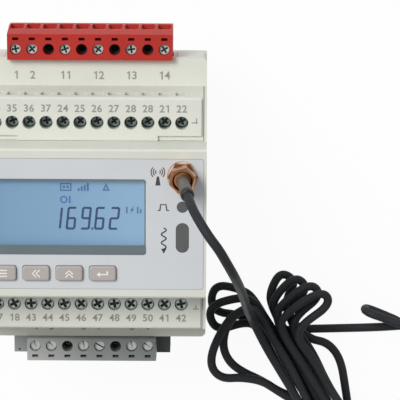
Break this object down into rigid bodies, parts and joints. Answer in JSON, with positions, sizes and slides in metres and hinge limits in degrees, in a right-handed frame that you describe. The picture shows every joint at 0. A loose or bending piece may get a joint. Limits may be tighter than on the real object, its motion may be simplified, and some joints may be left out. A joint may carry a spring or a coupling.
{
  "type": "rail-mounted energy monitor",
  "caption": "Rail-mounted energy monitor with display, keys, two pull-out terminal plugs, two covered terminal rows and a wireless aerial on a coiled lead.",
  "frame": {"origin": "middle of the meter on the plane that its back rests on", "axes": "+Z out of the back towards the display, +Y along the meter's height towards the edge with the ten-way plug, +X along its width towards the aerial socket"},
  "size_m": [0.1886, 0.1749, 0.1103],
  "materials": {
    "housing": "fine satin moulding",
    "label": "printed film, satin",
    "window": "clear, polished",
    "lcd": "blue liquid-crystal cell",
    "lcd_frame": "dark frame",
    "latch": "satin moulding",
    "dark_parts": "moulded, dull",
    "smoked": "smoked clear plastic",
    "gold": "gold-plated, polished",
    "sleeve": "satin black",
    "cord": "glossy black jacket",
    "board": "green solder mask",
    "white_plastic": "natural nylon",
    "can": "drawn can",
    "steel": "zinc-plated, dull",
    "tin": "tinned",
    "button": "soft satin",
    "header": "moulded grey",
    "red_plug": "moulded red, satin gloss",
    "grey_plug": "moulded light grey"
  },
  "bodies": {
    "meter": {"rear_base": "housing", "front_shell": "housing", "front_label": "label", "display_window": "window", "display_glass": "lcd", "backlight": "lcd_frame", "key_switches": "dark_parts", "pulse_lamp": "smoked", "infrared_window": "smoked", "aerial_socket": "gold", "socket_locknut": "gold", "lead_ferrule": "gold", "lead_boot": "sleeve", "power_board": "board", "main_board": "board", "display_board": "board", "board_spacers": "white_plastic", "tie_screws": "steel", "current_sensors": "dark_parts", "supply_transformer": "dark_parts", "output_relays": "white_plastic", "buffer_capacitor": "can", "radio_module": "can", "aerial_foot": "sleeve", "aerial_whip": "sleeve", "cord_run": "cord", "cord_hank": "cord", "cord_tail": "cord", "top_terminal_cover": "housing", "top_terminal_body": "dark_parts", "top_terminal_clamps": "steel", "top_terminal_screws": "steel", "top_header": "header", "top_header_pins": "tin", "bottom_terminal_cover": "housing", "bottom_terminal_body": "dark_parts", "bottom_terminal_clamps": "steel", "bottom_terminal_screws": "steel", "bottom_header": "header", "bottom_header_pins": "tin"},
    "top_plug": {"top_plug_body": "red_plug", "top_plug_clamps": "steel", "top_plug_screws": "steel"},
    "bottom_plug": {"bottom_plug_body": "grey_plug", "bottom_plug_clamps": "steel", "bottom_plug_screws": "steel"},
    "coupling_nut": {"coupling_nut": "gold"},
    "rail_latch": {"rail_latch": "latch"},
    "button_menu": {"button_menu": "button"},
    "button_back": {"button_back": "button"},
    "button_up": {"button_up": "button"},
    "button_enter": {"button_enter": "button"}
  },
  "joints": [
    {"name": "menu_press", "type": "slide", "parent": "meter", "child": "button_menu", "axis": [0, 0, -1], "range_m": [0, 0.0008], "stiffness_N_per_m": 300, "springref_m": -0.0005},
    {"name": "back_press", "type": "slide", "parent": "meter", "child": "button_back", "axis": [0, 0, -1], "range_m": [0, 0.0008], "stiffness_N_per_m": 300, "springref_m": -0.0005},
    {"name": "up_press", "type": "slide", "parent": "meter", "child": "button_up", "axis": [0, 0, -1], "range_m": [0, 0.0008], "stiffness_N_per_m": 300, "springref_m": -0.0005},
    {"name": "enter_press", "type": "slide", "parent": "meter", "child": "button_enter", "axis": [0, 0, -1], "range_m": [0, 0.0008], "stiffness_N_per_m": 300, "springref_m": -0.0005},
    {"name": "latch_slide", "type": "slide", "parent": "meter", "child": "rail_latch", "axis": [0, -1, 0], "range_m": [0, 0.004], "stiffness_N_per_m": 900, "springref_m": -0.001},
    {"name": "top_plug_pull", "type": "slide", "parent": "meter", "child": "top_plug", "axis": [0, 1, 0], "range_m": [0, 0.012]},
    {"name": "bottom_plug_pull", "type": "slide", "parent": "meter", "child": "bottom_plug", "axis": [0, -1, 0], "range_m": [0, 0.012]},
    {"name": "coupling_turn", "type": "hinge", "parent": "meter", "child": "coupling_nut", "pos_m": [0.0309, 0.0146, 0.0788], "axis": [0, 0, 1], "continuous": true}
  ]
}
